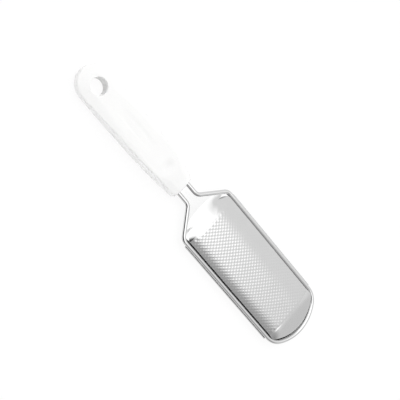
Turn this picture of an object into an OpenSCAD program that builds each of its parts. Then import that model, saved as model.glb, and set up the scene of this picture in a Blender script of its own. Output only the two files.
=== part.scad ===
// Foot file with a domed stainless rasp plate in a bent wire rim and a moulded two-shell handle.
// Millimetres. +X runs from the round end of the handle to the tip, +Y across, +Z out of the toothed face.
// The origin is on the surface the handle's back rests on, under the middle of the length.

/* [Overall] */
// Length from the round end of the handle to the tip of the rim
overall_l = 260; // [248:1:280]
// Gap left between pieces that are put together
clearance = 0.1; // [0.06:0.01:0.15]

/* [Handle] */
// Length of the two handle shells
handle_l = 112; // [104:1:118]
// Greatest width of the handle
handle_w = 28; // [26:0.5:32]
// Width of the handle's nose before its edge is rounded
nose_w = 19.6; // [18.6:0.2:22]
// Height of the front shell above the parting plane
front_h = 6.2; // [5.8:0.1:7.5]
// Depth of the back shell below the parting plane
back_h = 5.5; // [5.2:0.1:6.5]
// Length of the rounded end of the handle
round_l = 14.5; // [12:0.5:17]
// Rounding of the nose's edge
nose_r = 1.8; // [1:0.1:2.4]
// Thickness of the moulded walls
wall = 2.2; // [1.6:0.1:2.6]
// Width of the sloping flank along each edge beside the hanging hole
hole_flank_w = 6.5; // [5:0.1:7]
// Width of the flank in the grip
grip_flank_w = 3; // [2:0.1:4]
// Width of the flank where it is narrowest, just behind the thumb dimple
least_flank_w = 1; // [0.6:0.1:1.6]
// Width of the flank at the nose
nose_flank_w = 4.6; // [3:0.1:5.5]
// Rounding of the front shell's edge
edge_r = 1; // [0.6:0.1:1.3]

/* [Hanging hole] */
// Diameter of the hanging hole
hole_d = 13.2; // [11:0.2:15]
// Distance from the round end to the middle of the hole
hole_inset = 16.4; // [14.5:0.1:18]
// Bevel of the hole's two rims
hole_bevel = 0.7; // [0.3:0.1:1]

/* [Finger groove] */
// Distance from the round end to the middle of the groove
groove_inset = 57; // [54:0.5:58]
// Length of the groove along the handle
groove_l = 46; // [40:0.5:48]
// Width of the groove
groove_w = 10.8; // [9:0.2:12]
// Depth of the groove
groove_d = 0.5; // [0.3:0.05:0.6]

/* [Thumb dimple] */
// Distance from the nose to the middle of the dimple
dimple_inset = 20.5; // [18.5:0.5:22]
// Length of the dimple along the handle
dimple_l = 12; // [9:0.5:14]
// Width of the dimple
dimple_w = 15; // [12:0.5:18]
// Depth of the dimple
dimple_d = 1; // [0.5:0.1:1.3]

/* [Wire rim] */
// Diameter of the wire
wire_d = 3.2; // [2.8:0.1:3.6]
// Distance between the two wires in the neck, centre to centre
neck_w = 10.1; // [9.4:0.1:11]
// Length of the neck from the nose to the corner of the flare
neck_l = 11.7; // [9:0.1:14]
// Angle that each flare turns out from the neck
flare_angle = 52.6; // [46:0.2:60]
// Distance between the two long sides, centre to centre
rim_w = 51.4; // [46:0.2:56]
// Bend radius at the neck and at the shoulders, to the wire's centre
bend_r = 6; // [5:0.1:8]
// Rise of the round tip over the width of the rim
tip_rise = 11.6; // [9:0.1:14]
// Radius of the two tip corners, to the wire's centre
corner_r = 13.6; // [11:0.1:16]
// Length of each wire end inside the handle, up to its hook
wire_hold = 18; // [14:0.5:20]
// Radius of the hook at each wire end
hook_r = 3; // [2.6:0.1:3.4]
// Length of the straight end of each hook
hook_end = 1; // [0.5:0.1:1.4]

/* [Rasp plate] */
// Thickness of the sheet
sheet_t = 0.6; // [0.5:0.05:0.8]
// Height of the dome above the flange
dome_rise = 8.4; // [7:0.1:10]
// Width of the crevice between the wire and the foot of the dome
crevice = 0.5; // [0.3:0.05:0.8]
// How far the flange reaches past the wire's centre
flange_over = 0.3; // [0.1:0.05:0.6]
// How far the folded lip's edge stops below the wire's centre
lip_drop = 0.2; // [0:0.05:0.5]
// Length of the tang inside the handle
tang_l = 14; // [10:0.5:16]

/* [Teeth] */
// Distance between teeth along the plate
tooth_pitch = 3; // [2.8:0.1:3.6]
// Distance between teeth across the plate
tooth_gap = 3.6; // [3.4:0.1:4.4]
// Height of each tooth
tooth_h = 0.5; // [0.3:0.05:0.7]
// Bare length between the shoulder bend and the first row of teeth
bare_l = 2; // [1:0.1:4]

/* [Handle inside] */
// Thickness of each cross rib
rib_t = 1.4; // [1:0.1:2]
// Diameter of each locating pin
pin_d = 3; // [2.4:0.1:3.6]
// Length of each pin above the parting plane
pin_l = 2.4; // [1.8:0.1:2.8]
// Wall round each locating pin's socket
boss_wall = 1.5; // [1:0.1:1.8]
// Distance between the locating pins
pin_step = 22; // [19:0.5:23]
// Bare wall kept between the hanging hole and the hollow
boss_t = 3; // [2:0.1:4]
// Length of the solid nose block that holds the metal
block_l = 31; // [29:0.5:34]

/* [Hidden] */

white_plastic = [0.95, 0.95, 0.94];
bright_steel = [0.78, 0.79, 0.8];
plate_steel = [0.68, 0.69, 0.7];
round_fn = 64;
overrun = 1;

wire_r = wire_d / 2;
half_neck = neck_w / 2;
half_rim = rim_w / 2;

// Where the bends of the rim lie along X.
flare_x = handle_l + neck_l;
shoulder_x = flare_x + (half_rim - half_neck) / tan(flare_angle);
bend_run = bend_r * tan(flare_angle / 2);
neck_bend = [flare_x - bend_run, half_neck + bend_r];
shoulder_bend = [shoulder_x + bend_run, half_rim - bend_r];

// The tip is one large arc that meets each long side through a corner arc.
tip_x = overall_l - wire_r;
tip_r = (tip_rise * tip_rise + half_rim * half_rim) / (2 * tip_rise);
tip_bend = [tip_x - tip_r, 0];
corner_y = half_rim - corner_r;
corner_x = tip_bend.x + sqrt(pow(tip_r - corner_r, 2) - corner_y * corner_y);
corner_turn = atan2(corner_y, corner_x - tip_bend.x);
corner_bend = [corner_x, corner_y];

// Hooks at the wire's two ends.
hook_turn = 70;
hook_x = handle_l - wire_hold;

// Half width of the rim's outline at x, grown outwards by d, as far as the straight sides.
function rim_y(x, d) =
    let (r1 = bend_r - d,
         r2 = bend_r + d,
         flare_a = neck_bend + r1 * [sin(flare_angle), -cos(flare_angle)],
         flare_b = shoulder_bend.x - r2 * sin(flare_angle))
    x < neck_bend.x ? half_neck + d :
    x < flare_a.x ? neck_bend.y - sqrt(r1 * r1 - pow(x - neck_bend.x, 2)) :
    x < flare_b ? flare_a.y + (x - flare_a.x) * tan(flare_angle) :
    x < shoulder_bend.x ? shoulder_bend.y + sqrt(r2 * r2 - pow(shoulder_bend.x - x, 2)) :
    half_rim + d;

// Point on the rim's tip outline, grown outwards by d. The share runs from 0 at the middle of the
// tip to 1 at the end of the straight side, by the angle turned.
function tip_point(share, d) =
    let (a = 90 * share)
    a < corner_turn ? tip_bend + (tip_r + d) * [cos(a), sin(a)]
                    : corner_bend + (corner_r + d) * [cos(a), sin(a)];

function smooth(t) = let (s = max(0, min(1, t))) s * s * (3 - 2 * s);
function mix(a, b, t) = a + (b - a) * t;

// Cross-section of the plate: a circular dome on a flat flange that passes under the wire.
flange_z = -(wire_r + clearance);
foot_in = wire_r + crevice;
foot_y = half_rim - foot_in;
// At the tip the dome runs down under the wire, to this share of the wire's radius from its centre.
tip_foot_share = 0.75;
tip_foot_in = tip_foot_share * wire_r;
dome_r = (dome_rise * dome_rise + foot_y * foot_y) / (2 * dome_rise);
dome_turn = asin(foot_y / dome_r);
lip_y = half_rim + wire_r + clearance;
lip_z = -lip_drop;

// The tooth lattice: whole half-steps both ways, with every second crossing raised to a point.
across_n = 2 * round(dome_r * dome_turn * PI / 180 / tooth_gap) * 2;
field_x = shoulder_bend.x + bare_l;
rows_n = 2 * floor((corner_x - field_x) / tooth_pitch);
field_end = field_x + rows_n * tooth_pitch / 2;

// Rows of the plate's grid: tang and neck, flare and ramp, teeth, tip.
tang_x = handle_l - tang_l;
neck_rows = [tang_x, handle_l, neck_bend.x];
flare_n = 9;
flare_step = (field_x - neck_bend.x) / flare_n;
tip_n = 9;
first_tooth_row = len(neck_rows) - 1 + flare_n;
last_tooth_row = first_tooth_row + rows_n;
tip_row = last_tooth_row + tip_n;
edge_row = tip_row + 1;
// Columns of the grid: lip edge, fold, flange edge and foot on each side, the dome between the feet.
foot_col = 3;
last_col = across_n + 2 * foot_col;
// The dome starts to rise just past the neck bend, and is full at the first teeth.
ramp_start_share = 0.35;
ramp_x = mix(flare_x, shoulder_x, ramp_start_share);

function row_x(i) =
    i < len(neck_rows) ? neck_rows[i] :
    i < first_tooth_row ? neck_bend.x + (i - len(neck_rows) + 1) * flare_step :
    field_x + (i - first_tooth_row) * tooth_pitch / 2;
function ramp(x) = smooth((x - ramp_x) / (field_x - ramp_x));

// Sideways turn of the dome at a column, from -dome_turn to dome_turn.
function col_turn(j) = dome_turn * (2 * (j - foot_col) / across_n - 1);
function col_share(j) = sin(col_turn(j)) / sin(dome_turn);
function is_tooth(i, j) =
    i > first_tooth_row && i < last_tooth_row && j > foot_col && j < last_col - foot_col
    && (i + j) % 2 == 0;

// A point of the dome's front face, its height scaled by k, and its back face one sheet below.
function dome_height(j) = dome_r * cos(col_turn(j)) - (dome_r - dome_rise);
function dome_pair(x, y, j, k, lift) =
    let (lean = atan(k * tan(col_turn(j))),
         out = [0, sin(lean), cos(lean)],
         p = [x, y, flange_z + k * dome_height(j)] + out * lift)
    [p, p - out * sheet_t];
// The foot is mitred where the dome meets the flange.
function foot_pair(x, y, k, side) =
    let (lean = atan(k * tan(dome_turn)))
    [[x, y, flange_z], [x, y - side * sheet_t * tan(lean / 2), flange_z - sheet_t]];
function flange_pair(x, y) = [[x, y, flange_z], [x, y, flange_z - sheet_t]];
function fold_pair(x, side) =
    [[x, side * lip_y, flange_z], [x, side * (lip_y + sheet_t), flange_z - sheet_t]];
function lip_pair(x, side) =
    [[x, side * lip_y, lip_z], [x, side * (lip_y + sheet_t), lip_z]];

// A row across the neck, the flare or the teeth.
function straight_pair(i, j) =
    let (x = row_x(i),
         side = j < last_col / 2 ? -1 : 1,
         m = min(j, last_col - j),
         k = ramp(x))
    m == 0 ? lip_pair(x, side) :
    m == 1 ? fold_pair(x, side) :
    m == 2 ? flange_pair(x, side * rim_y(x, flange_over)) :
    m == 3 ? foot_pair(x, side * rim_y(x, -foot_in), k, side) :
    dome_pair(x, rim_y(x, -foot_in) * col_share(j), j, k, is_tooth(i, j) ? tooth_h : 0);

// The tip's grid is spread between the last teeth and the rim. Its two far corners lie at the middle
// of the rim's corner arcs.
turn_share = (90 + corner_turn) / 180;
function side_point(t, d) =
    let (straight = corner_x - field_end,
         arc = (corner_r + d) * (1 - turn_share) * PI / 2,
         run = t * (straight + arc))
    run < straight ? [field_end + run, half_rim + d]
                   : tip_point(1 - (1 - turn_share) * (run - straight) / arc, d);
function end_point(e, d) =
    let (p = tip_point(abs(e) * turn_share, d)) [p.x, sign(e) * p.y];
function side_flip(p, side) = [p.x, side * p.y];
// The dome's foot along the tip's side: it moves in under the wire on its way to the corner.
function side_foot(t) = side_point(t, -mix(foot_in, tip_foot_in, min(t, 1)));
function tip_plan(t, e) =
    let (base = [field_end, foot_y * e],
         far = end_point(e, -tip_foot_in),
         a = side_foot(t),
         far_corner = end_point(1, -tip_foot_in),
         left_w = (1 - e) / 2,
         right_w = (1 + e) / 2,
         base_corner = [field_end, foot_y])
    mix(base, far, t) + right_w * a + left_w * side_flip(a, -1)
    - right_w * mix(base_corner, far_corner, t)
    - left_w * side_flip(mix(base_corner, far_corner, t), -1);

function tip_pair(i, j) =
    let (side = j < last_col / 2 ? -1 : 1,
         m = min(j, last_col - j),
         t = (i - last_tooth_row) / tip_n,
         edge_t = (i - last_tooth_row) / (tip_n + 1),
         edge_e = col_share(j) * tip_n / (tip_n + 1),
         k = cos(90 * min(t, 1)))
    m < 2 ? flange_pair(field_end, side * lip_y) :
    m == 2 ? let (p = side_flip(side_point(edge_t, flange_over), side)) flange_pair(p.x, p.y) :
    i == edge_row ? let (p = end_point(edge_e, flange_over)) flange_pair(p.x, p.y) :
    m == 3 ? let (p = side_flip(side_foot(t), side)) foot_pair(p.x, p.y, k, side) :
    let (p = tip_plan(t, col_share(j))) dome_pair(p.x, p.y, j, k, 0);

function grid_pair(i, j) = i <= last_tooth_row ? straight_pair(i, j) : tip_pair(i, j);

// A cell of the grid exists in the sheet everywhere, and in the folded lip beside the teeth only.
function has_cell(i, j) =
    i >= 0 && i < edge_row && j >= 0 && j < last_col
    && (min(j, last_col - 1 - j) >= 2 || (i >= first_tooth_row && i < last_tooth_row));

function front_id(i, j) = 2 * (i * (last_col + 1) + j);
function back_id(i, j) = front_id(i, j) + 1;
// Four corners of a cell as two triangles, split so that each raised point stays a pyramid.
function cell_faces(a, b, c, d, along) = along ? [[a, b, c], [a, c, d]] : [[a, b, d], [b, c, d]];
function wall_faces(a, b, c, d) = [[a, b, c], [a, c, d]];

module rasp_plate() {
    points = [for (i = [0 : edge_row], j = [0 : last_col]) each grid_pair(i, j)];
    faces = [
        for (i = [0 : edge_row - 1], j = [0 : last_col - 1])
            if (has_cell(i, j))
                let (along = (i + j) % 2 != 0,
                     f = [front_id(i, j), front_id(i, j + 1), front_id(i + 1, j + 1), front_id(i + 1, j)],
                     b = [back_id(i, j), back_id(i, j + 1), back_id(i + 1, j + 1), back_id(i + 1, j)])
                each concat(
                    cell_faces(f[0], f[1], f[2], f[3], along),
                    [for (t = cell_faces(b[0], b[1], b[2], b[3], along)) [t[2], t[1], t[0]]],
                    has_cell(i - 1, j) ? [] : wall_faces(f[1], f[0], b[0], b[1]),
                    has_cell(i + 1, j) ? [] : wall_faces(f[3], f[2], b[2], b[3]),
                    has_cell(i, j - 1) ? [] : wall_faces(f[0], f[3], b[3], b[0]),
                    has_cell(i, j + 1) ? [] : wall_faces(f[2], f[1], b[1], b[2]))
    ];
    color(plate_steel) in_place() polyhedron(points, faces);
}

// Everything is laid out from the handle's round end, with the wire's centre at height 0, and is
// then moved so that the handle's back lies at height 0 and the middle of the length at X 0.
module in_place() {
    translate([-overall_l / 2, 0, back_h]) children();
}

// The wire's centre line, as points with a heading: round a centre from one angle to another.
function arc_path(centre, radius, from, to, n) = [
    for (k = [0 : n])
        let (a = mix(from, to, k / n))
        [centre.x + radius * cos(a), centre.y + radius * sin(a), a + (to > from ? 90 : -90)]
];
hook_bend = [hook_x, half_neck + hook_r];
hook_tip = hook_bend - hook_r * [sin(hook_turn), cos(hook_turn)];
hook_stop = hook_tip + hook_end * [-cos(hook_turn), sin(hook_turn)];
hook_n = 4;
bend_n = 5;
corner_n = 5;
tip_arc_n = 5;
half_path = concat(
    [[hook_stop.x, hook_stop.y, -hook_turn]],
    arc_path(hook_bend, hook_r, -90 - hook_turn, -90, hook_n),
    arc_path(neck_bend, bend_r, -90, flare_angle - 90, bend_n),
    arc_path(shoulder_bend, bend_r, 90 + flare_angle, 90, bend_n),
    arc_path(corner_bend, corner_r, 90, corner_turn, corner_n),
    [for (k = [1 : tip_arc_n]) let (a = mix(corner_turn, 0, k / tip_arc_n))
        [tip_bend.x + tip_r * cos(a), tip_bend.y + tip_r * sin(a), a - 90]]);
half_n = len(half_path);
wire_path = concat(
    half_path,
    [for (k = [half_n - 2 : -1 : 0]) let (p = half_path[k]) [p.x, -p.y, 180 - p.z]]);
wire_sides = 12;

module wire_frame() {
    n = len(wire_path);
    points = [
        for (p = wire_path, k = [0 : wire_sides - 1])
            let (a = 360 * k / wire_sides, out = wire_r * cos(a))
            [p.x - out * sin(p.z), p.y + out * cos(p.z), wire_r * sin(a)]
    ];
    id = function (i, k) i * wire_sides + k % wire_sides;
    faces = concat(
        [for (i = [0 : n - 2], k = [0 : wire_sides - 1])
            each [[id(i, k), id(i + 1, k + 1), id(i, k + 1)], [id(i, k), id(i + 1, k), id(i + 1, k + 1)]]],
        [for (k = [1 : wire_sides - 2]) each [[id(0, 0), id(0, k), id(0, k + 1)],
                                              [id(n - 1, 0), id(n - 1, k + 1), id(n - 1, k)]]]);
    color(bright_steel) in_place() polyhedron(points, faces);
}

// Half width of the handle at x: a round end, then a taper that quickens towards the nose.
taper_power = 3.3;
function body_w(x) = mix(handle_w, nose_w, pow(max(0, x - round_l) / (handle_l - round_l), taper_power)) / 2;
function round_share(x) = x < round_l ? sqrt(1 - pow(1 - x / round_l, 2)) : 1;
// How much the nose's rounded edge takes off every side at x.
function nose_cut(x) = x < handle_l - nose_r ? 0 : nose_r - sqrt(max(0, nose_r * nose_r - pow(x - handle_l + nose_r, 2)));
function plan_w(x) = body_w(x) * round_share(x) - nose_cut(x);

// Height of the front face: low round the hanging hole, full in the grip, low again at the nose.
hole_h_share = 0.62;
nose_h_share = 0.62;
rise_start_share = 0.12;
rise_end_share = 0.46;
slope_share = 0.86;
function crown(x) =
    let (t = x / handle_l)
    mix(hole_h_share, 1, smooth((t - rise_start_share) / (rise_end_share - rise_start_share)))
    - (1 - nose_h_share) * smooth((t - slope_share) / (1 - slope_share));
function dimple(x, y) =
    let (d = norm([(x - handle_l + dimple_inset) / dimple_l, y / dimple_w]) * 2)
    d < 1 ? dimple_d * pow(cos(90 * d), 2) : 0;
// The groove is a long rounded oblong with sloping walls and a flat floor.
groove_power = 3;
groove_wall_share = 0.55;
function groove(x, y) =
    let (d = pow(pow(abs(x - groove_inset) / groove_l * 2, groove_power)
                 + pow(abs(y) / groove_w * 2, groove_power), 1 / groove_power))
    groove_d * smooth((1 - d) / groove_wall_share);
function relief(x, y) = dimple(x, y) + groove(x, y);

// Width of the flank: wide beside the hole, narrower in the grip, least behind the dimple, wide at the
// nose. Each change starts and ends at these shares of the handle's length.
grip_shares = [0.16, 0.5];
least_shares = [0.56, 0.74];
nose_shares = [0.8, 0.92];
function stage(x, shares) = smooth((x / handle_l - shares[0]) / (shares[1] - shares[0]));
function flank_w(x) =
    mix(mix(mix(hole_flank_w, grip_flank_w, stage(x, grip_shares)), least_flank_w, stage(x, least_shares)),
        nose_flank_w, stage(x, nose_shares));
end_power = 0.5;
function shell_z(x, front) = (front ? front_h * crown(x) : back_h) * pow(round_share(x), end_power) - nose_cut(x);

// Outer section of the front shell, from edge to edge: side wall, rounded edge, sloping flank and face.
flank_turn = 18;
flank_limit_share = 0.5;
edge_least_share = 0.4;
round_limit_share = 0.6;
edge_n = 3;
face_shares = [1, 0.54, 0.26, 0];
function front_section(x) =
    let (w = plan_w(x),
         h = shell_z(x, true),
         flank = min(flank_w(x), flank_limit_share * w),
         edge_h = max(h - flank * tan(flank_turn), edge_least_share * h),
         r = min(edge_r, round_limit_share * edge_h, (1 - flank_limit_share) * round_limit_share * w),
         half = concat(
             [[w, 0]],
             [for (k = [0 : edge_n])
                 let (a = (90 - flank_turn) * k / edge_n)
                 [w - r + r * cos(a), edge_h - r + r * sin(a)]],
             [for (share = face_shares) [(w - r - flank) * share, h]]))
    concat(half, [for (k = [len(half) - 2 : -1 : 0]) [-half[k].x, half[k].y]]);

// Section of the back shell and of the hollow inside both: a superellipse over half a turn, rounder in
// front, squarer with a flat behind.
front_power = 2.5;
back_power = 4.5;
back_gain = 1.07;
section_n = 12;
function section(x, front, inset) =
    let (w = plan_w(x) - inset, h = shell_z(x, front) - inset, power = front ? front_power : back_power)
    [
        for (k = [0 : section_n])
            let (a = 180 * k / section_n, up = pow(sin(a), 2 / power))
            [w * sign(cos(a)) * pow(abs(cos(a)), 2 / power), h * (front ? up : min(1, up * back_gain))]
    ];

// Stations along the handle: close together in the round end, in the dimple and at the nose.
round_n = 8;
grip_n = 10;
dimple_n = 8;
nose_n = 3;
// The nose's rounded edge turns this far before the flat end.
nose_turn = 75;
function nose_x(k) = handle_l - nose_r * (1 - sin(nose_turn * k / nose_n));
dimple_x = handle_l - dimple_inset;
stations = concat(
    [for (k = [1 : round_n]) round_l * (1 - cos(90 * k / round_n))],
    [for (k = [1 : grip_n]) mix(round_l, dimple_x - dimple_l / 2, k / grip_n)],
    [for (k = [1 : dimple_n]) mix(dimple_x - dimple_l / 2, handle_l - nose_r, k / dimple_n)],
    [for (k = [1 : nose_n]) nose_x(k)],
    [handle_l]);

// Solid half of the handle, up for the front shell and down for the back shell.
module half_body(front) {
    m = len(stations);
    up = front ? 1 : -1;
    rings = [
        for (x = stations)
            let (at = min(x, nose_x(nose_n)))
            [for (p = front ? front_section(at) : section(at, false, 0))
                [x, p.x, up * (p.y - (front && p.y > 0 ? relief(x, p.x) : 0))]]
    ];
    n = len(rings[0]);
    points = concat([[0, 0, 0]], [for (ring = rings) each ring]);
    id = function (i, k) 1 + i * n + k;
    skin = [
        for (i = [0 : m - 2], k = [0 : n - 2])
            each [[id(i, k), id(i + 1, k), id(i + 1, k + 1)], [id(i, k), id(i + 1, k + 1), id(i, k + 1)]]
    ];
    parting = [
        for (i = [0 : m - 2])
            each [[id(i, 0), id(i, n - 1), id(i + 1, n - 1)], [id(i, 0), id(i + 1, n - 1), id(i + 1, 0)]]
    ];
    cap = [for (k = [0 : n - 2]) [0, id(0, k), id(0, k + 1)]];
    nose = [for (k = [1 : n - 2]) [id(m - 1, 0), id(m - 1, k + 1), id(m - 1, k)]];
    faces = concat(skin, parting, cap, [[0, id(0, n - 1), id(0, 0)]], nose);
    polyhedron(points, front ? faces : [for (f = faces) [f[2], f[1], f[0]]]);
}

// The hanging hole through one shell, with its bevelled rim.
module hanging_hole(h, up) {
    hole_r = hole_d / 2;
    rim_z = h - hole_bevel;
    translate([hole_inset, 0, 0]) mirror([0, 0, up ? 0 : 1]) {
        translate([0, 0, -overrun]) cylinder(r = hole_r, h = h + 2 * overrun, $fn = round_fn);
        translate([0, 0, rim_z])
            cylinder(r1 = hole_r, r2 = hole_r + 2 * hole_bevel, h = 2 * hole_bevel, $fn = round_fn);
    }
}

// The hollow inside the grip: it follows the outside one wall further in, and is open at the parting
// plane. Cross ribs and bosses stand in it.
hollow_x = hole_inset + hole_d / 2 + boss_t;
hollow_end = handle_l - block_l;
hollow_n = 5;
module hollow(front) {
    up = front ? 1 : -1;
    rings = [
        for (i = [0 : hollow_n])
            let (x = mix(hollow_x, hollow_end, i / hollow_n), half = section(x, front, wall))
            concat([[x, half[0].x, -up * overrun]],
                   [for (p = half) [x, p.x, up * p.y]],
                   [[x, half[section_n].x, -up * overrun]])
    ];
    n = section_n + 3;
    id = function (i, k) i * n + k % n;
    faces = concat(
        [for (i = [0 : hollow_n - 1], k = [0 : n - 1])
            each [[id(i, k), id(i + 1, k), id(i + 1, k + 1)], [id(i, k), id(i + 1, k + 1), id(i, k + 1)]]],
        [for (k = [1 : n - 2]) each [[0, id(0, k), id(0, k + 1)],
                                     [id(hollow_n, 0), id(hollow_n, k + 1), id(hollow_n, k)]]]);
    difference() {
        polyhedron([for (ring = rings) each ring], front ? faces : [for (f = faces) [f[2], f[1], f[0]]]);
        for (x = pin_x) translate([x, 0, 0]) {
            translate([-rib_t / 2, -handle_w, -2 * front_h]) cube([rib_t, 2 * handle_w, 4 * front_h]);
            translate([0, 0, -2 * front_h])
                cylinder(d = pin_d + 2 * boss_wall, h = 4 * front_h, $fn = round_fn);
        }
    }
}

// Locating pins stand in the middle of the hollow, each in a round boss on a cross rib.
pin_n = 3;
hollow_mid = (hollow_x + hollow_end) / 2;
pin_x = [for (k = [0 : pin_n - 1]) hollow_mid + (k - (pin_n - 1) / 2) * pin_step];

// Room for the two wire ends, cut into both shells: a round channel and a pocket for the hook.
module wire_channels() {
    channel_r = wire_r + clearance;
    pocket_r = channel_r + clearance;
    pocket_low = [hook_stop.x - wire_r - clearance, half_neck - pocket_r];
    pocket_high = [hook_x + clearance, hook_stop.y + wire_r * cos(hook_turn) + clearance];
    for (side = [0, 1]) mirror([0, side, 0]) {
        translate([hook_x, half_neck, 0]) rotate([0, 90, 0])
            cylinder(r = channel_r, h = wire_hold + overrun, $fn = round_fn);
        translate([pocket_low.x, pocket_low.y, -pocket_r])
            cube([pocket_high.x - pocket_low.x, pocket_high.y - pocket_low.y, 2 * pocket_r]);
    }
}

module handle_front() {
    press_w = neck_w - wire_d - 4 * clearance;
    press_h = wire_r;
    color(white_plastic) in_place() {
        difference() {
            union() {
                half_body(true);
                // Pad that reaches between the wires and holds the tang down.
                translate([handle_l - tang_l, -press_w / 2, -press_h])
                    cube([tang_l, press_w, press_h + wire_r]);
            }
            hanging_hole(front_h * crown(hole_inset), true);
            hollow(true);
            wire_channels();
            for (x = pin_x) translate([x, 0, -overrun])
                cylinder(d = pin_d + 2 * clearance, h = pin_l + clearance + overrun, $fn = round_fn);
        }
    }
}

module handle_back() {
    tang_w = 2 * (half_neck + flange_over + clearance);
    tang_depth = wire_r + sheet_t + 2 * clearance;
    color(white_plastic) in_place() {
        difference() {
            half_body(false);
            hanging_hole(back_h, false);
            hollow(false);
            wire_channels();
            // Recess for the tang of the plate.
            translate([tang_x - clearance, -tang_w / 2, -tang_depth])
                cube([tang_l + clearance + overrun, tang_w, tang_depth + overrun]);
        }
        for (x = pin_x) translate([x, 0, -overrun]) cylinder(d = pin_d, h = pin_l + overrun, $fn = round_fn);
    }
}

handle_front();
handle_back();
wire_frame();
rasp_plate();
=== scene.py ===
"""A foot file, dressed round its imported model: a toothed steel plate in a wire rim on a white handle."""

import bmesh
import bpy
import numpy as np
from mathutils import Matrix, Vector


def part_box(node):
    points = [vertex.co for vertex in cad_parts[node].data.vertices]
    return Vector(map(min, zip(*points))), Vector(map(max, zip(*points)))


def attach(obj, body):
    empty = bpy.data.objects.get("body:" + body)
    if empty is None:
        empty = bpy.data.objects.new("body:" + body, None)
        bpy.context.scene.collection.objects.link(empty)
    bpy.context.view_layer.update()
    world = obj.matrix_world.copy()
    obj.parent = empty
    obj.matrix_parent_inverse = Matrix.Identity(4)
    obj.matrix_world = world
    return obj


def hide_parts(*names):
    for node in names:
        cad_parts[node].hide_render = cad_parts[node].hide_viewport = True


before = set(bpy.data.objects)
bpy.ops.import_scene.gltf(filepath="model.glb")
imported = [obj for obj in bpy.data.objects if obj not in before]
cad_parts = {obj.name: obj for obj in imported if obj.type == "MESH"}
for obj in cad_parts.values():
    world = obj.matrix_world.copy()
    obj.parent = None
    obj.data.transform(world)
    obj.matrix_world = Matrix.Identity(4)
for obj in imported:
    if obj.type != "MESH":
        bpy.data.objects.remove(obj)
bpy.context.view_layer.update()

# The camera looks down on the toothed face from the handle's left, through a long lens, and is rolled
# so that the file runs from the upper left to the lower right.
mm = 0.001
wire_low, wire_high = (np.array(corner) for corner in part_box("wire_frame"))
wire_z = (wire_low[2] + wire_high[2]) / 2
view_target = Vector((-1.9 * mm, 4.3 * mm, wire_z))
view_azimuth, view_elevation, view_roll = np.radians([-40.86, 61.27, 87.07])
view_distance = 766 * mm
lens_mm = 95.15
nearest, farthest = 0.05, 20
view_back = Vector((
    np.sin(view_azimuth) * np.cos(view_elevation),
    -np.cos(view_azimuth) * np.cos(view_elevation),
    np.sin(view_elevation),
))
camera = bpy.data.objects.new("camera", bpy.data.cameras.new("camera"))
camera.data.lens = lens_mm
camera.data.clip_start, camera.data.clip_end = nearest, farthest
camera.location = view_target + view_back * view_distance
turn = (-view_back).to_track_quat("-Z", "Y").to_matrix().to_4x4()
turn = turn @ turn.Rotation(view_roll, 4, "Z")
camera.rotation_euler = turn.to_euler()
bpy.context.scene.collection.objects.link(camera)
bpy.context.scene.camera = camera
bpy.context.scene.view_settings.view_transform = "Standard"


# Rasp plate. One stainless sheet, 0.6 mm thick, pressed into a dome whose staggered teeth are raised
# from behind. Its flange passes under the wire, and both long edges are folded up outside the wire.
handle_low, handle_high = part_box("handle_front")
tang_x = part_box("rasp_plate")[0][0]
start_x = handle_low[0]
nose_x = handle_high[0]
wire_r = (wire_high[2] - wire_low[2]) / 2
half_rim = wire_high[1] - wire_r
tip_x = wire_high[0] - wire_r

# The rim's outline, along the wire's centre.
half_neck = 5.05 * mm
neck_l = 11.7 * mm
flare_angle = np.radians(52.6)
bend_r = 6 * mm
tip_rise = 11.6 * mm
corner_r = 13.6 * mm

# The sheet, its flange and its folded edges. The crevice lies between the wire's side and the dome's foot.
sheet_t = 0.6 * mm
sheet_crease = np.radians(60)
clearance = 0.1 * mm
crevice = 0.15 * mm
tip_foot_share = 0.75
flange_over = 0.3 * mm
fold_r = 0.45 * mm
lip_drop = 0.2 * mm
lip_round = 0.8 * mm

# The dome, with a short steep wall beside the wire, a neck end and a tip.
dome_rise = 8.4 * mm
dome_power = 2.5
wall_h = 3.3 * mm
wall_run = 0.6 * mm
wall_fall_rate = 3
neck_rise = 1.5 * mm
end_l = 9 * mm
end_reach_q = 1.4
corner_power = 2
middle_start, middle_run = 0.45, 0.4
shoulder_l = 6 * mm
tip_power, tip_lift = 1.6, 0.25

# The teeth, on a lattice whose steps are half the pitch, and across_n of them from side to side.
bare_l = 2 * mm
tooth_pitch = 3 * mm
tooth_h = 0.1 * mm
tooth_power = 4
across_n = 28

flare_x = nose_x + neck_l
shoulder_x = flare_x + (half_rim - half_neck) / np.tan(flare_angle)
bend_run = bend_r * np.tan(flare_angle / 2)
neck_bend = np.array([flare_x - bend_run, half_neck + bend_r])
shoulder_bend = np.array([shoulder_x + bend_run, half_rim - bend_r])
tip_r = (tip_rise**2 + half_rim**2) / (2 * tip_rise)
tip_bend = np.array([tip_x - tip_r, 0.0])
corner_y = half_rim - corner_r
corner_bend = np.array([tip_bend[0] + np.sqrt((tip_r - corner_r) ** 2 - corner_y**2), corner_y])
corner_turn = np.arctan2(corner_y, corner_bend[0] - tip_bend[0])
foot_in = wire_r + crevice
foot_y = half_rim - foot_in
tip_foot_in = tip_foot_share * wire_r
arch_r = (dome_rise**2 + foot_y**2) / (2 * dome_rise)
arch_turn = np.arcsin(foot_y / arch_r)
flange_z = wire_z - wire_r - clearance
tooth_step = tooth_pitch / 2
field_x = shoulder_bend[0] + bare_l
rows_n = 2 * int((corner_bend[0] - field_x) / tooth_pitch)
field_end = field_x + rows_n * tooth_step
quarter = np.pi / 2
tiny = 1e-9


def smooth(t):
    """The cubic 3t^2 - 2t^3 between 0 and 1, held flat outside."""
    t = np.clip(t, 0, 1)
    return t * t * (3 - 2 * t)


def mix(a, b, t):
    """The straight blend from a to b."""
    return a + (b - a) * t


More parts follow.
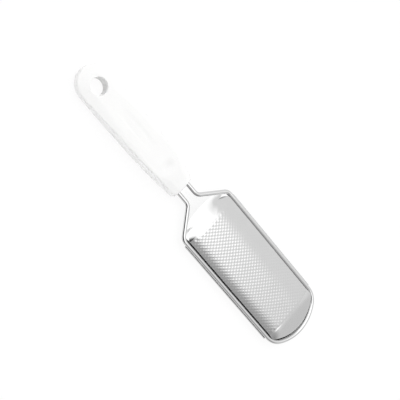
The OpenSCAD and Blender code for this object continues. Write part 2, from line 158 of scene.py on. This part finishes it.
def rim_y(x, d):
    """Half width of the rim's outline at x, grown outwards by d: neck, bend, flare, bend, straight side."""
    r1, r2 = bend_r - d, bend_r + d
    flare_a = neck_bend[0] + r1 * np.sin(flare_angle), neck_bend[1] - r1 * np.cos(flare_angle)
    flare_b = shoulder_bend[0] - r2 * np.sin(flare_angle)
    first = neck_bend[1] - np.sqrt(np.maximum(r1**2 - (x - neck_bend[0]) ** 2, 0))
    flare = flare_a[1] + (x - flare_a[0]) * np.tan(flare_angle)
    second = shoulder_bend[1] + np.sqrt(np.maximum(r2**2 - (shoulder_bend[0] - x) ** 2, 0))
    return np.select(
        [x < neck_bend[0], x < flare_a[0], x < flare_b, x < shoulder_bend[0]],
        [half_neck + d + 0 * x, first, flare, second],
        half_rim + d + 0 * x,
    )


def tip_point(share, d):
    """Point of the tip's outline grown by d: a large arc from the middle, share 0, then a corner arc."""
    a = share * quarter
    on_tip = tip_bend[:, None] + (tip_r + d) * np.array([np.cos(a), np.sin(a)])
    on_corner = corner_bend[:, None] + (corner_r + d) * np.array([np.cos(a), np.sin(a)])
    return np.where(a < corner_turn, on_tip, on_corner)


# The far corners of the tip's grid lie at the middle of the rim's corner arcs.
turn_share = (quarter + corner_turn) / np.pi


def side_point(t, d):
    """Point of the tip's side at share t of its length: straight first, then along the corner arc."""
    straight = corner_bend[0] - field_end
    arc = (corner_r + d) * (1 - turn_share) * quarter
    run = t * (straight + arc)
    on_side = np.array([field_end + run, half_rim + d + 0 * run])
    return np.where(run < straight, on_side, tip_point(1 - (1 - turn_share) * (run - straight) / arc, d))


def end_point(e, d):
    """Point of the tip's far end at share e of its half width, from -1 to 1."""
    p = tip_point(np.abs(e) * turn_share, d)
    return np.array([p[0], np.sign(e) * p[1]])


def mesh_piece(name, points, faces, weld=True):
    """A mesh object from points and faces. Points that fall together are welded, and unused ones go."""
    data = bpy.data.meshes.new(name)
    data.from_pydata(points.tolist(), [], faces)
    if weld:
        work = bmesh.new()
        work.from_mesh(data)
        bmesh.ops.remove_doubles(work, verts=work.verts, dist=0.002 * mm)
        loose = [v for v in work.verts if not v.link_faces]
        bmesh.ops.delete(work, geom=loose, context="VERTS")
        work.to_mesh(data)
        work.free()
    data.shade_smooth()
    piece = bpy.data.objects.new(name, data)
    bpy.context.scene.collection.objects.link(piece)
    return piece


def grid_faces(rows, columns, first=0, keep=None):
    """Four-cornered faces of a grid whose points are stored row by row, facing rows crossed with columns."""
    ids = first + np.arange(rows * columns).reshape(rows, columns)
    faces = np.stack([ids[:-1, :-1], ids[1:, :-1], ids[1:, 1:], ids[:-1, 1:]], axis=-1)
    return faces[keep] if keep is not None else faces.reshape(-1, 4)


# The dome's own grid. Rows run along X from inside the handle to the tip. Columns run from side to side,
# evenly round a circular arch: four to each step of the tooth lattice, and finer beside the foot.
column_fine, row_fine, foot_fine = 4, 3, 6
neck_n, flare_n, tip_n = 12, 89, 31
foot_b = np.linspace(0, 0.5, foot_fine + 1)
lattice_b = np.linspace(0, across_n, across_n * column_fine + 1)
lattice_b = lattice_b[(lattice_b > foot_b[-1]) & (lattice_b < across_n - foot_b[-1])]
lattice_b = np.concatenate([foot_b, lattice_b, across_n - foot_b[::-1]])
column_turn = arch_turn * (2 * lattice_b / across_n - 1)
column_share = np.sin(column_turn) / np.sin(arch_turn)

neck_rows = np.linspace(tang_x, neck_bend[0], neck_n)
flare_rows = np.linspace(neck_bend[0], field_x, flare_n + 1)[1:]
tooth_rows = np.linspace(field_x, field_end, rows_n * row_fine + 1)[1:]
body_x = np.concatenate([neck_rows, flare_rows, tooth_rows])
first_tooth_row = neck_n + flare_n - 1
tip_t = np.linspace(0, 1, tip_n + 1)[1:]

# In plan, the body follows the rim's outline, and the tip is a patch between its base, its far end and its
# two sides: the blend from base to far end, moved out to the sides by their gap.
body_plan_y = rim_y(body_x, -foot_in)[:, None] * column_share
body_plan = np.dstack([body_x[:, None] + 0 * body_plan_y, body_plan_y])
t, e = (g.ravel() for g in np.meshgrid(tip_t, column_share, indexing="ij"))
tip_foot = mix(foot_in, tip_foot_in, tip_t)
base, far = np.array([field_end + 0 * e, foot_y * e]), end_point(e, -tip_foot_in)
side, far_corner = side_point(t, -mix(foot_in, tip_foot_in, t)), end_point(np.ones_like(e), -tip_foot_in)
base_corner = np.array([field_end + 0 * e, foot_y + 0 * e])
gap_to_side = side - mix(base_corner, far_corner, t)
flip = np.array([[1.0], [-1.0]])
tip_plan = mix(base, far, t) + (1 + e) / 2 * gap_to_side + (1 - e) / 2 * gap_to_side * flip
tip_plan = np.moveaxis(tip_plan.reshape(2, tip_n, len(column_share)), 0, -1)


def dome_height(across_q, along_q, fall):
    """Height over the flange: beside the teeth a wall as high as the wire and an arch, at the neck a rise.

    The neck end is an ellipse: q = hypot(across, along) is 1 on it. Towards its corners the rise is 1 - q^p,
    and along the middle it is a long soft one. The share of q^2 that lies along X blends the two. The tip
    lowers the arch by its fall, and the wall only near the rim.
    """
    q = np.hypot(across_q, along_q) + tiny
    arch = (dome_rise - wall_h) * (1 - np.minimum(q, 1) ** dome_power)
    wall = wall_h * np.minimum(wall_fall_rate * fall, 1)
    beside = (wall + arch * fall) * smooth((1 - across_q) * foot_y / wall_run)
    corner, middle = 1 - np.minimum(q, 1) ** corner_power, smooth(1 - q / end_reach_q)
    at_neck = mix(corner, middle, smooth(((along_q / q) ** 2 - middle_start) / middle_run))
    at_neck = neck_rise + (dome_rise - neck_rise) * at_neck
    return mix(beside, at_neck, smooth(along_q * end_l / shoulder_l))


# From the last teeth to the rim the tip falls as 1 - t^p (1 - k(1 - t)): level at first, and then sloping.
tip_fall = 1 - tip_t**tip_power * (1 - tip_lift * (1 - tip_t))
end_q = np.clip((field_x - body_x) / end_l, 0, None)
body_z = dome_height(np.abs(body_plan_y) / foot_y, end_q[:, None], 1)
tip_z = dome_height(np.abs(column_share) + 0 * tip_t[:, None], 0, tip_fall[:, None])
dome_plan = np.concatenate([body_plan, tip_plan])
dome = np.dstack([dome_plan, flange_z + np.concatenate([body_z, tip_z])])

# Teeth: a square pad, 1 - d^p both ways, at every second crossing of the lattice. They are raised along the
# dome's own normal, and the narrow valleys between them run slantwise across the dome.
along_rows, along_columns = np.gradient(dome, axis=0), np.gradient(dome, axis=1)
normal = np.cross(along_rows, along_columns)
normal /= np.linalg.norm(normal, axis=2, keepdims=True)
lattice_a = ((dome[:, :, 0] - field_x) / tooth_step).clip(-1, rows_n + 1)
lattice_a[len(body_x):] = rows_n + 1
u, v = (lattice_a + lattice_b) / 2, (lattice_a - lattice_b) / 2
near_u, near_v = np.floor(u) + 0.5, np.floor(v) + 0.5
near_a, near_b = near_u + near_v, near_u - near_v
inside = (near_a > 0) & (near_a < rows_n) & (near_b > 0) & (near_b < across_n)
pad = (1 - (2 * (u - near_u)) ** tooth_power) * (1 - (2 * (v - near_v)) ** tooth_power)
dome = dome + normal * (tooth_h * np.where(inside, pad, 0))[:, :, None]

# The flange: a strip that follows the dome's foot all the way round, out to just past the wire's centre.
# In the neck it lies just under the wire's centre and ends against the wire's side.
strip_n = 5
strip_share = np.linspace(0, 1, strip_n)
raised = neck_rise * smooth(end_q * end_l / shoulder_l)
beside_wire = np.sqrt(np.maximum(wire_r**2 - (wire_r + clearance - raised) ** 2, 0)) + clearance
body_stop = np.where(raised > clearance, -beside_wire, flange_over)


def strip_offsets(foot, stop):
    """Offsets from the wire's centre line in even steps, from the dome's foot to where the flange stops."""
    return mix(-foot, stop, strip_share[:, None])


def flange_strip(plan, sign, raised):
    """Flange points from plan positions, mirrored where the sign is -1 and raised row by row."""
    return np.dstack([plan[0], sign * plan[1], flange_z + raised[:, None] + 0 * plan[0]])


body_lines = np.stack([rim_y(body_x, d) for d in strip_offsets(foot_in, body_stop)], axis=1)
body_side = np.array([body_x[:, None] + 0 * body_lines, body_lines])
tip_side = np.stack([side_point(tip_t, d) for d in strip_offsets(tip_foot, flange_over)], axis=2)
side_plan = np.concatenate([body_side, tip_side], axis=1)
side_raised = np.concatenate([raised, 0 * tip_t])
end_plan = np.stack([end_point(column_share, d) for d in strip_offsets(tip_foot_in, flange_over)], axis=2)
left_strip, right_strip = flange_strip(side_plan, -1, side_raised), flange_strip(side_plan, 1, side_raised)
end_strip = flange_strip(end_plan, 1, 0 * column_share)

# The folded edges: out past the wire, round a tight bend and up outside it, as far as the teeth run,
# with each end of the lip rounded off.
run_n, fold_n, lip_n = 4, 6, 4
lip_y = half_rim + wire_r + clearance
lip_top = wire_z - lip_drop
fold_a = np.linspace(0, quarter, fold_n + 1)[1:]
fold_x = body_x[first_tooth_row:]
end_gap = np.minimum(fold_x - fold_x[0], fold_x[-1] - fold_x)
round_off = lip_round - np.sqrt(np.maximum(lip_round**2 - np.maximum(lip_round - end_gap, 0) ** 2, 0))
run_out = np.linspace(half_rim + flange_over, lip_y - fold_r, run_n)
fold_y = np.concatenate([run_out, lip_y - fold_r + fold_r * np.sin(fold_a), np.full(lip_n, lip_y)])
fold_rise = np.concatenate([np.zeros(run_n), fold_r * (1 - np.cos(fold_a)), np.zeros(lip_n)])
fold_z = flange_z + fold_rise + 0 * fold_x[:, None]
lip_share = np.linspace(0, 1, lip_n + 1)[1:]
fold_z[:, -lip_n:] = flange_z + fold_r + lip_share * ((lip_top - flange_z - fold_r) - round_off)[:, None]
fold = np.dstack([fold_x[:, None] + 0 * fold_z, fold_y + 0 * fold_z, fold_z])

sheets = [
    (dome, False), (left_strip, True), (right_strip, False), (end_strip, False),
    (fold, False), (fold * (1, -1, 1), True),
]
points, faces, count = [], [], 0
for sheet, turned in sheets:
    rows, columns = sheet.shape[:2]
    made = grid_faces(rows, columns, count)
    faces.append(made[:, ::-1] if turned else made)
    points.append(sheet.reshape(-1, 3))
    count += rows * columns
rasp_plate = mesh_piece("rasp_plate_sheet", np.concatenate(points), np.concatenate(faces).tolist())
thickness = rasp_plate.modifiers.new("sheet", "SOLIDIFY")
thickness.thickness = sheet_t
thickness.offset = -1
thickness.use_rim = True


def node_maker(material):
    """A short way to add a node and set its inputs by name."""
    tree = material.node_tree

    def add(kind, settings=(), **inputs):
        node = tree.nodes.new(kind)
        for key, value in dict(settings).items():
            setattr(node, key, value)
        for key, value in inputs.items():
            socket = node.inputs[key.replace("_", " ")]
            if hasattr(value, "is_output"):
                tree.links.new(value, socket)
            else:
                socket.default_value = value
        return node

    return add


def steel(name, grey, roughness, grain_scale, grain_depth):
    """Stainless steel, slightly clouded, with a fine grain along X in its gloss and its surface."""
    cloud_share, least_gloss_share, most_gloss_share = 0.03, 0.8, 1.25
    grain_stretch = (0.04, 1, 1)
    material = bpy.data.materials.new(name)
    material.use_nodes = True
    shader = material.node_tree.nodes["Principled BSDF"]
    add, link = node_maker(material), material.node_tree.links.new
    place = add("ShaderNodeTexCoord").outputs["Object"]
    stretched = add("ShaderNodeMapping", Vector=place, Scale=grain_stretch).outputs["Vector"]
    grain = add("ShaderNodeTexNoise", Vector=stretched, Scale=grain_scale, Detail=4.0).outputs["Fac"]
    cloud = add("ShaderNodeTexNoise", Vector=place, Scale=90.0, Detail=2.0).outputs["Fac"]
    tone = add("ShaderNodeMapRange", Value=cloud, To_Min=1 - cloud_share, To_Max=1 + cloud_share)
    tint = add("ShaderNodeVectorMath", {"operation": "SCALE"}, Vector=(grey, grey, grey),
               Scale=tone.outputs["Result"])
    gloss = add("ShaderNodeMapRange", Value=grain, To_Min=roughness * least_gloss_share,
                To_Max=roughness * most_gloss_share)
    bump = add("ShaderNodeBump", Height=grain, Strength=0.25, Distance=grain_depth).outputs["Normal"]
    shader.inputs["Metallic"].default_value = 1.0
    link(tint.outputs["Vector"], shader.inputs["Base Color"])
    link(gloss.outputs["Result"], shader.inputs["Roughness"])
    link(bump, shader.inputs["Normal"])
    return material


pressed_sheet = steel("pressed_sheet", grey=0.64, roughness=0.15, grain_scale=2500.0, grain_depth=0.01 * mm)
rasp_plate.data.materials.append(pressed_sheet)
rasp_plate.data.set_sharp_from_angle(angle=sheet_crease)
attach(rasp_plate, "root")
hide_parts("rasp_plate")


# Wire frame. One polished stainless wire, 3.2 mm thick, bent into the neck, the flares, the long sides and
# the round tip. Its two ends run into the handle and turn out in a hook that holds them there.
wire_hold = 18 * mm
hook_r = 3 * mm
hook_end = 1 * mm
hook_turn = np.radians(70)
hook_bend = np.array([nose_x - wire_hold, half_neck + hook_r])
bead = 0.5 * mm
hook_n, rim_bend_n, rim_corner_n, tip_arc_n = 12, 16, 22, 12
wire_sides, bead_n = 28, 3


def bend_path(centre, radius, start, stop, n):
    """Points and headings round a bend from one angle to another."""
    a = np.linspace(start, stop, n)
    heading = a + np.sign(stop - start) * quarter
    return np.stack([centre[0] + radius * np.cos(a), centre[1] + radius * np.sin(a), heading], axis=1)


hook = bend_path(hook_bend, hook_r, -quarter - hook_turn, -quarter, hook_n)
hook_stop = hook[0] + [-hook_end * np.cos(hook_turn), hook_end * np.sin(hook_turn), 0]
half_path = np.concatenate([
    [hook_stop],
    hook,
    bend_path(neck_bend, bend_r, -quarter, flare_angle - quarter, rim_bend_n),
    bend_path(shoulder_bend, bend_r, quarter + flare_angle, quarter, rim_bend_n),
    bend_path(corner_bend, corner_r, quarter, corner_turn, rim_corner_n),
    bend_path(tip_bend, tip_r, corner_turn, 0, tip_arc_n)[1:],
])
other_half = half_path[-2::-1] * (1, -1, -1) + (0, 0, np.pi)
wire_path = np.concatenate([half_path, other_half])

# Each end is closed by a small round bead: the end ring is repeated further out and smaller.
bead_a = np.linspace(0, quarter, bead_n + 1)[1:]
bead_r = wire_r - bead + bead * np.cos(bead_a)


def bead_rows(row, sign):
    """Path rows of the bead at an end row, ahead of it where the sign is 1 and behind it where it is -1."""
    ahead = sign * np.array([np.cos(row[2]), np.sin(row[2]), 0])
    return row + bead * np.sin(bead_a)[:, None] * ahead


path_rows = np.concatenate([bead_rows(wire_path[0], -1)[::-1], wire_path, bead_rows(wire_path[-1], 1)])
radii = np.concatenate([bead_r[::-1], np.full(len(wire_path), wire_r), bead_r])[:, None]
heading = path_rows[:, 2:]
round_a = np.linspace(0, 2 * np.pi, wire_sides, endpoint=False)
tube = np.dstack([
    path_rows[:, :1] - radii * np.cos(round_a) * np.sin(heading),
    path_rows[:, 1:2] + radii * np.cos(round_a) * np.cos(heading),
    wire_z + radii * np.sin(round_a),
])
ids = np.arange(len(tube) * wire_sides).reshape(-1, wire_sides)
next_ids = np.roll(ids, -1, axis=1)
wall = np.stack([ids[:-1], ids[1:], next_ids[1:], next_ids[:-1]], axis=-1).reshape(-1, 4)
caps = [ids[0].tolist(), ids[-1, ::-1].tolist()]
wire_rim = mesh_piece("wire_rim", tube.reshape(-1, 3), wall.tolist() + caps, weld=False)
polished_wire = steel("polished_wire", grey=0.66, roughness=0.07, grain_scale=900.0, grain_depth=0.004 * mm)
wire_rim.data.materials.append(polished_wire)
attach(wire_rim, "root")
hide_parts("wire_frame")


# Handle shells. Two shells of glossy white ABS, moulded and welded along the wire's plane. The front one
# has a flank along each edge, a shallow long hollow for the fingers, and the thumb dimple near its nose.
handle_l = nose_x - start_x
front_h = 6.2 * mm
back_h = wire_z
handle_w = 28 * mm
nose_w = 19.6 * mm
round_l = 14.5 * mm
taper_power = 3.3
nose_corner = 1.8 * mm
edge_r = 1 * mm
back_edge_r = 2.4 * mm
shell_crease = np.radians(50)

hole_r = 6.6 * mm
hole_x = start_x + 16.4 * mm
hole_round = 0.4 * mm

# The side wall is drawn in at the seam, at these shares of the groove's height.
seam_in = 0.12 * mm
seam_h = 0.25 * mm
seam_shares = np.array([0, 0.35, 0.7, 1.0])

flank_turn = np.radians(18)
hole_flank_w, grip_flank_w, least_flank_w, nose_flank_w = 6.5 * mm, 3 * mm, 1 * mm, 4.6 * mm
least_edge_share = 0.4
flank_soft = 0.3 * mm

dimple_x = nose_x - 20.5 * mm
dimple_l = 12 * mm
dimple_w = 15 * mm
dimple_d = 1 * mm
groove_x = start_x + 57 * mm
groove_l = 46 * mm
groove_w = 10.8 * mm
groove_d = 0.5 * mm
groove_power = 3
groove_wall_share = 0.55

# The front is low round the hole and at the nose. Each change runs between two shares of the length.
hole_end_share, nose_drop_share = 0.62, 0.38
rise_shares, drop_shares = (0.12, 0.46), (0.86, 1)
grip_flank_shares, least_flank_shares, nose_flank_shares = (0.16, 0.5), (0.56, 0.74), (0.8, 0.92)


def body_w(x):
    """Half width at x: full past the round end, then a taper that quickens towards the nose."""
    share = np.clip((x - start_x - round_l) / (handle_l - round_l), 0, None)
    return mix(handle_w, nose_w, share**taper_power) / 2


def stage(x, shares):
    """0 to 1, smoothly, between two shares of the handle's length."""
    start, stop = shares
    return smooth(((x - start_x) / handle_l - start) / (stop - start))


def flank_w(x):
    """Width of the flank: wide at the hole, narrow in the grip, least by the dimple, wide at the nose."""
    w = mix(hole_flank_w, grip_flank_w, stage(x, grip_flank_shares))
    w = mix(w, least_flank_w, stage(x, least_flank_shares))
    return mix(w, nose_flank_w, stage(x, nose_flank_shares))


def front_z(x, y, edge_d):
    """Height of the front over the seam: the lower of the face and of the flank that rises from the edge.

    The dimple is a squared cosine, and the groove has a flat floor and soft walls inside |x|^p + |y|^p = 1.
    """
    share = mix(hole_end_share, 1, stage(x, rise_shares)) - nose_drop_share * stage(x, drop_shares)
    full = front_h * share
    dimple = np.hypot((x - dimple_x) / dimple_l, y / dimple_w) * 2
    dimple = dimple_d * np.cos(quarter * np.clip(dimple, 0, 1)) ** 2
    along, sideways = np.abs((x - groove_x) / groove_l * 2), np.abs(y / groove_w * 2)
    groove = (along**groove_power + sideways**groove_power) ** (1 / groove_power)
    groove = groove_d * smooth((1 - groove) / groove_wall_share)
    face = full - dimple - groove
    flank = full - np.tan(flank_turn) * (flank_w(x) + edge_r - edge_d)
    flank = np.maximum(flank, least_edge_share * full)
    return (face + flank - np.sqrt((face - flank) ** 2 + flank_soft**2)) / 2


# The outline at the seam, from the middle of the nose along one side, round the end and back.
nose_n, corner_n, side_n, round_n = 10, 8, 150, 60
nose_half = body_w(nose_x - nose_corner)
nose_y = np.linspace(0, nose_half - nose_corner, nose_n, endpoint=False)
corner_a = np.linspace(quarter, 0, corner_n + 1)
round_x = nose_x - nose_corner * (1 - np.sin(corner_a))
round_y = nose_half - nose_corner * (1 - np.cos(corner_a))
side_x = np.linspace(nose_x - nose_corner, start_x + round_l, side_n)
end_a = np.linspace(0, quarter, round_n + 1)[1:]
half_outline = np.concatenate([
    np.stack([np.full(nose_n, nose_x), nose_y]),
    np.stack([round_x, round_y]),
    np.stack([side_x, body_w(side_x)])[:, 1:],
    np.stack([start_x + round_l - round_l * np.sin(end_a), handle_w / 2 * np.cos(end_a)]),
], axis=1)
outline = np.concatenate([half_outline, half_outline[:, -2:0:-1] * flip], axis=1).T
outline[np.abs(outline) < tiny] = 0
loop_n = len(outline)

# Each outline point looks at a point inside: on the spine, or on the rim of the hanging hole.
spine_end = 8 * mm
join_l = 33 * mm
least_slant = 0.3
rim_r = hole_r + hole_round
half = half_outline.T
steps = np.linalg.norm(np.diff(half, axis=0), axis=1)
run = np.concatenate([[0], np.cumsum(steps)])
round_the_hole = half[:, 0] < start_x + join_l
join = np.argmax(round_the_hole)
hole_a = np.clip((run - run[join]) / (run[-1] - run[join]), 0, 1) * np.pi
on_hole = np.stack([hole_x + rim_r * np.cos(hole_a), rim_r * np.sin(hole_a)], axis=1)
spine_share = np.clip((half[:, 0] - half[join, 0]) / (nose_x - nose_corner - half[join, 0]), 0, 1)
on_spine = np.stack([mix(hole_x + rim_r, nose_x - spine_end, spine_share), 0 * spine_share], axis=1)
half_inner = np.where(round_the_hole[:, None], on_hole, on_spine)
inner = np.concatenate([half_inner, half_inner[-2:0:-1] * (1, -1)])
hole_zone = np.concatenate([round_the_hole, round_the_hole[-2:0:-1]])

tangent = np.roll(outline, -1, axis=0) - np.roll(outline, 1, axis=0)
inward = np.stack([-tangent[:, 1], tangent[:, 0]], axis=1)
inward /= np.linalg.norm(inward, axis=1, keepdims=True)
across = inner - outline
across_l = np.linalg.norm(across, axis=1)
across /= across_l[:, None]
slant = np.maximum(np.sum(across * inward, axis=1), least_slant)
inset_max = across_l * slant
at_nose = smooth((outline[:, 0] - nose_x + 2 * nose_corner) / (2 * nose_corner))

# Rings up the side wall, round the edge, across the face, round the hole's rim and down its wall. The power
# crowds the face's rings towards the edge.
wall_n, edge_n, face_n, rim_n, bore_n = 4, 9, 59, 6, 8
crowd_power = 1.15


def shell(name, up):
    """A shell in rings inside its outline: side wall, rounded edge, flank and face, and the hole's wall."""
    turn_r = mix(edge_r, nose_corner, at_nose) if up else np.full(loop_n, back_edge_r)
    edge_turn = np.linspace(0, quarter, edge_n)
    face_share = np.linspace(0, 1, face_n + 1)[1:] ** crowd_power
    edge_in = turn_r * (1 - np.cos(edge_turn))[:, None]
    insets = np.concatenate([edge_in, mix(edge_in[-1], inset_max, face_share[:, None])])
    plan = outline + across * (insets / slant)[:, :, None]
    if up:
        x, y = plan[:, :, 0], plan[:, :, 1]
        edge_d = np.where(x > start_x + round_l, body_w(x) - np.abs(y), insets)
        heights = front_z(x, y, edge_d)
    else:
        heights = np.full(insets.shape, back_h)
    heights[:edge_n] -= turn_r * (1 - np.sin(edge_turn))[:, None]

    # The side wall under the rounded edge, drawn in at the seam to leave a fine groove.
    wall_z = np.concatenate([
        seam_h * seam_shares[:, None] + np.zeros(loop_n),
        mix(seam_h, heights[0], np.linspace(0, 1, wall_n + 2)[1:-1, None]),
    ])
    wall_in = np.zeros(wall_z.shape)
    wall_in[:len(seam_shares)] = seam_in * (1 - seam_shares[:, None]) ** 2
    wall_plan = outline + across * (wall_in / slant)[:, :, None]
    outside = np.concatenate([np.dstack([wall_plan, wall_z]), np.dstack([plan, heights])])

    # Down the hanging hole: a rounded rim, then the straight wall to the seam.
    centre = np.array([hole_x, 0])
    outwards = (inner - centre) / rim_r
    rim_a = np.linspace(0, quarter, rim_n + 1)[1:, None]
    rim_z = outside[-1, :, 2] - hole_round * (1 - np.cos(rim_a))
    rim_plan = centre + outwards * (rim_r - hole_round * np.sin(rim_a))[:, :, None]
    bore_z = rim_z[-1] * (1 - np.linspace(0, 1, bore_n + 1)[1:, None])
    bore_plan = centre + outwards * np.full((bore_n, 1, 1), hole_r)
    rings = np.concatenate([outside, np.dstack([rim_plan, rim_z]), np.dstack([bore_plan, bore_z])])

    # Close the loop, keep the hole's rows only round the hole, and add the flat seam face.
    rings = np.concatenate([rings, rings[:, :1]], axis=1)
    keep = np.ones((len(rings) - 1, loop_n), bool)
    keep[len(outside) - 1:, :] = hole_zone & np.roll(hole_zone, -1)
    faces = grid_faces(len(rings), loop_n + 1, 0, keep)
    first, last = rings[0], rings[-1].copy()
    off_hole = np.append(~hole_zone, ~hole_zone[:1])
    last[off_hole] = rings[len(outside) - 1][off_hole]
    last[:, 2] = 0
    seam_faces = grid_faces(2, loop_n + 1, len(rings) * (loop_n + 1))
    points = np.concatenate([rings.reshape(-1, 3), last, first])
    faces = np.concatenate([faces, seam_faces])
    if not up:
        points, faces = points * (1, 1, -1), faces[:, ::-1]
    points[:, 2] += wire_z
    piece = mesh_piece(name, points, faces.tolist())
    piece.data.set_sharp_from_angle(angle=shell_crease)
    return piece


def white_plastic(name, colour):
    """Glossy moulded ABS: a barely uneven white, with a very fine grain in its gloss and its surface."""
    cloud_share, least_roughness, most_roughness = 0.01, 0.24, 0.3
    material = bpy.data.materials.new(name)
    material.use_nodes = True
    shader = material.node_tree.nodes["Principled BSDF"]
    add, link = node_maker(material), material.node_tree.links.new
    place = add("ShaderNodeTexCoord").outputs["Object"]
    cloud = add("ShaderNodeTexNoise", Vector=place, Scale=60.0, Detail=2.0).outputs["Fac"]
    tone = add("ShaderNodeMapRange", Value=cloud, To_Min=1 - cloud_share, To_Max=1 + cloud_share)
    tint = add("ShaderNodeVectorMath", {"operation": "SCALE"}, Vector=colour, Scale=tone.outputs["Result"])
    grain = add("ShaderNodeTexNoise", Vector=place, Scale=3000.0, Detail=3.0).outputs["Fac"]
    gloss = add("ShaderNodeMapRange", Value=grain, To_Min=least_roughness, To_Max=most_roughness)
    bump = add("ShaderNodeBump", Height=grain, Strength=0.1, Distance=0.01 * mm).outputs["Normal"]
    link(tint.outputs["Vector"], shader.inputs["Base Color"])
    link(gloss.outputs["Result"], shader.inputs["Roughness"])
    link(bump, shader.inputs["Normal"])
    return material


abs_white = white_plastic("white_plastic", colour=(0.96, 0.96, 0.955))
for name, node, up in (("front_shell", "handle_front", True), ("back_shell", "handle_back", False)):
    piece = shell(name, up)
    piece.data.materials.append(abs_white)
    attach(piece, "root")
    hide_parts(node)


# Floor and studio. A white floor, which the camera sees mostly as plain white with the object's shadow, in
# a light tent. A soft patch overhead and low walls light the object, and what metal mirrors is set apart.
floor_half = 3.0
floor_white = 0.9
plain_light = 1.02
shadow_share = 0.1
corners = np.array([(-1, -1, 0), (1, -1, 0), (1, 1, 0), (-1, 1, 0)])
floor = mesh_piece("floor", corners * floor_half, [[0, 1, 2, 3]], weld=False)


def calc(operation, *terms):
    """A math node on numbers or outputs, in the material or world that is being made."""
    node = add("ShaderNodeMath", {"operation": operation})
    for socket, term in zip(node.inputs, terms):
        if hasattr(term, "is_output"):
            tree.links.new(term, socket)
        else:
            socket.default_value = term
    return node.outputs[0]


floor_paint = bpy.data.materials.new("floor_white")
floor_paint.use_nodes = True
tree = floor_paint.node_tree
add = node_maker(floor_paint)
tree.nodes.remove(tree.nodes["Principled BSDF"])
matt = add("ShaderNodeBsdfDiffuse", Color=(floor_white, floor_white, floor_white, 1)).outputs[0]
plain = add("ShaderNodeEmission", Color=(1, 1, 1, 1), Strength=plain_light).outputs[0]
floor_path = add("ShaderNodeLightPath").outputs
seen = calc("MAXIMUM", floor_path["Is Camera Ray"], floor_path["Is Glossy Ray"])
blend = add("ShaderNodeMixShader", Fac=calc("MULTIPLY", seen, 1 - shadow_share))
tree.links.new(matt, blend.inputs[1])
tree.links.new(plain, blend.inputs[2])
tree.links.new(blend.outputs[0], tree.nodes["Material Output"].inputs["Surface"])
floor.data.materials.append(floor_paint)

world = bpy.data.worlds.new("light_tent")
bpy.context.scene.world = world
world.use_nodes = True
tree = world.node_tree
add = node_maker(world)
direction = add("ShaderNodeTexCoord").outputs["Generated"]


def edge(value, start, stop):
    """Soft edge: 0 to 1 as the value goes from start to stop, either way up."""
    return add(
        "ShaderNodeMapRange", {"interpolation_type": "SMOOTHSTEP"}, Value=value,
        From_Min=min(start, stop), From_Max=max(start, stop),
        To_Min=float(start > stop), To_Max=float(start < stop),
    ).outputs["Result"]


def toward(axis, start, stop):
    """Soft round patch: 0 to 1 as the direction's dot product with the axis goes from start to stop."""
    dot = add("ShaderNodeVectorMath", {"operation": "DOT_PRODUCT"})
    tree.links.new(direction, dot.inputs[0])
    dot.inputs[1].default_value = Vector(axis).normalized()
    return edge(dot.outputs["Value"], start, stop)


def choose(switch, off, on):
    """One of two values by a light path's kind."""
    return add("ShaderNodeMix", {"data_type": "FLOAT"}, Factor=switch, A=off, B=on).outputs["Result"]


# What the metal mirrors: a bright soft box overhead that reaches back past the handle, pale walls that are
# a little dimmer past the tip and half as bright at -Y, and a dark corner low behind the camera. Each edge
# is given by where it starts and stops, as parts of the unit direction.
box_light, tent_light = 1.7, 1.0
side_loss, end_loss, corner_loss = 0.5, 0.18, 0.95
box_far, box_near, box_end = (0.62, 0.36), (-0.4, -0.26), (0.345, 0.32)
side_edge, end_edge, corner_edge = (-0.45, -0.1), (0.34, 0.7), (0.4, 0.75)
dark_axis = (-0.78, -0.6, 0.15)
parts = add("ShaderNodeSeparateXYZ", Vector=direction).outputs
across_box = calc("MULTIPLY", edge(parts["Y"], *box_far), edge(parts["Y"], *box_near))
box = calc("MULTIPLY", across_box, edge(parts["X"], *box_end))
grey_side = calc("MULTIPLY_ADD", edge(parts["Y"], *side_edge), side_loss, tent_light - side_loss)
grey_end = calc("MULTIPLY_ADD", edge(parts["X"], *end_edge), -end_loss, 1.0)
dark_corner = calc("MULTIPLY_ADD", toward(dark_axis, *corner_edge), -corner_loss, 1.0)
pale = calc("MULTIPLY", calc("MULTIPLY", grey_side, grey_end), dark_corner)
mirrored = calc("MULTIPLY_ADD", box, calc("SUBTRACT", box_light, pale), pale)

# What lights the object: a soft patch overhead, low walls that fade towards +Y, and a dim tent.
overhead_light, wall_light, dim_light = 2.3, 2.5, 0.32
wall_top, wall_end, overhead_edge = (0.3, 0.05), (0.7, -0.3), (0.7, 0.95)
overhead_axis = (0, 0.5, 0.87)
low_walls = calc("MULTIPLY", edge(parts["Z"], *wall_top), edge(parts["Y"], *wall_end))
around = calc("MULTIPLY_ADD", low_walls, wall_light, dim_light)
soft = calc("MULTIPLY_ADD", toward(overhead_axis, *overhead_edge), overhead_light, around)

world_path = add("ShaderNodeLightPath").outputs
strength = choose(world_path["Is Camera Ray"], choose(world_path["Is Glossy Ray"], soft, mirrored), 1.0)
background = tree.nodes["Background"]
tree.links.new(strength, background.inputs["Strength"])
background.inputs["Color"].default_value = (1, 1, 1, 1)
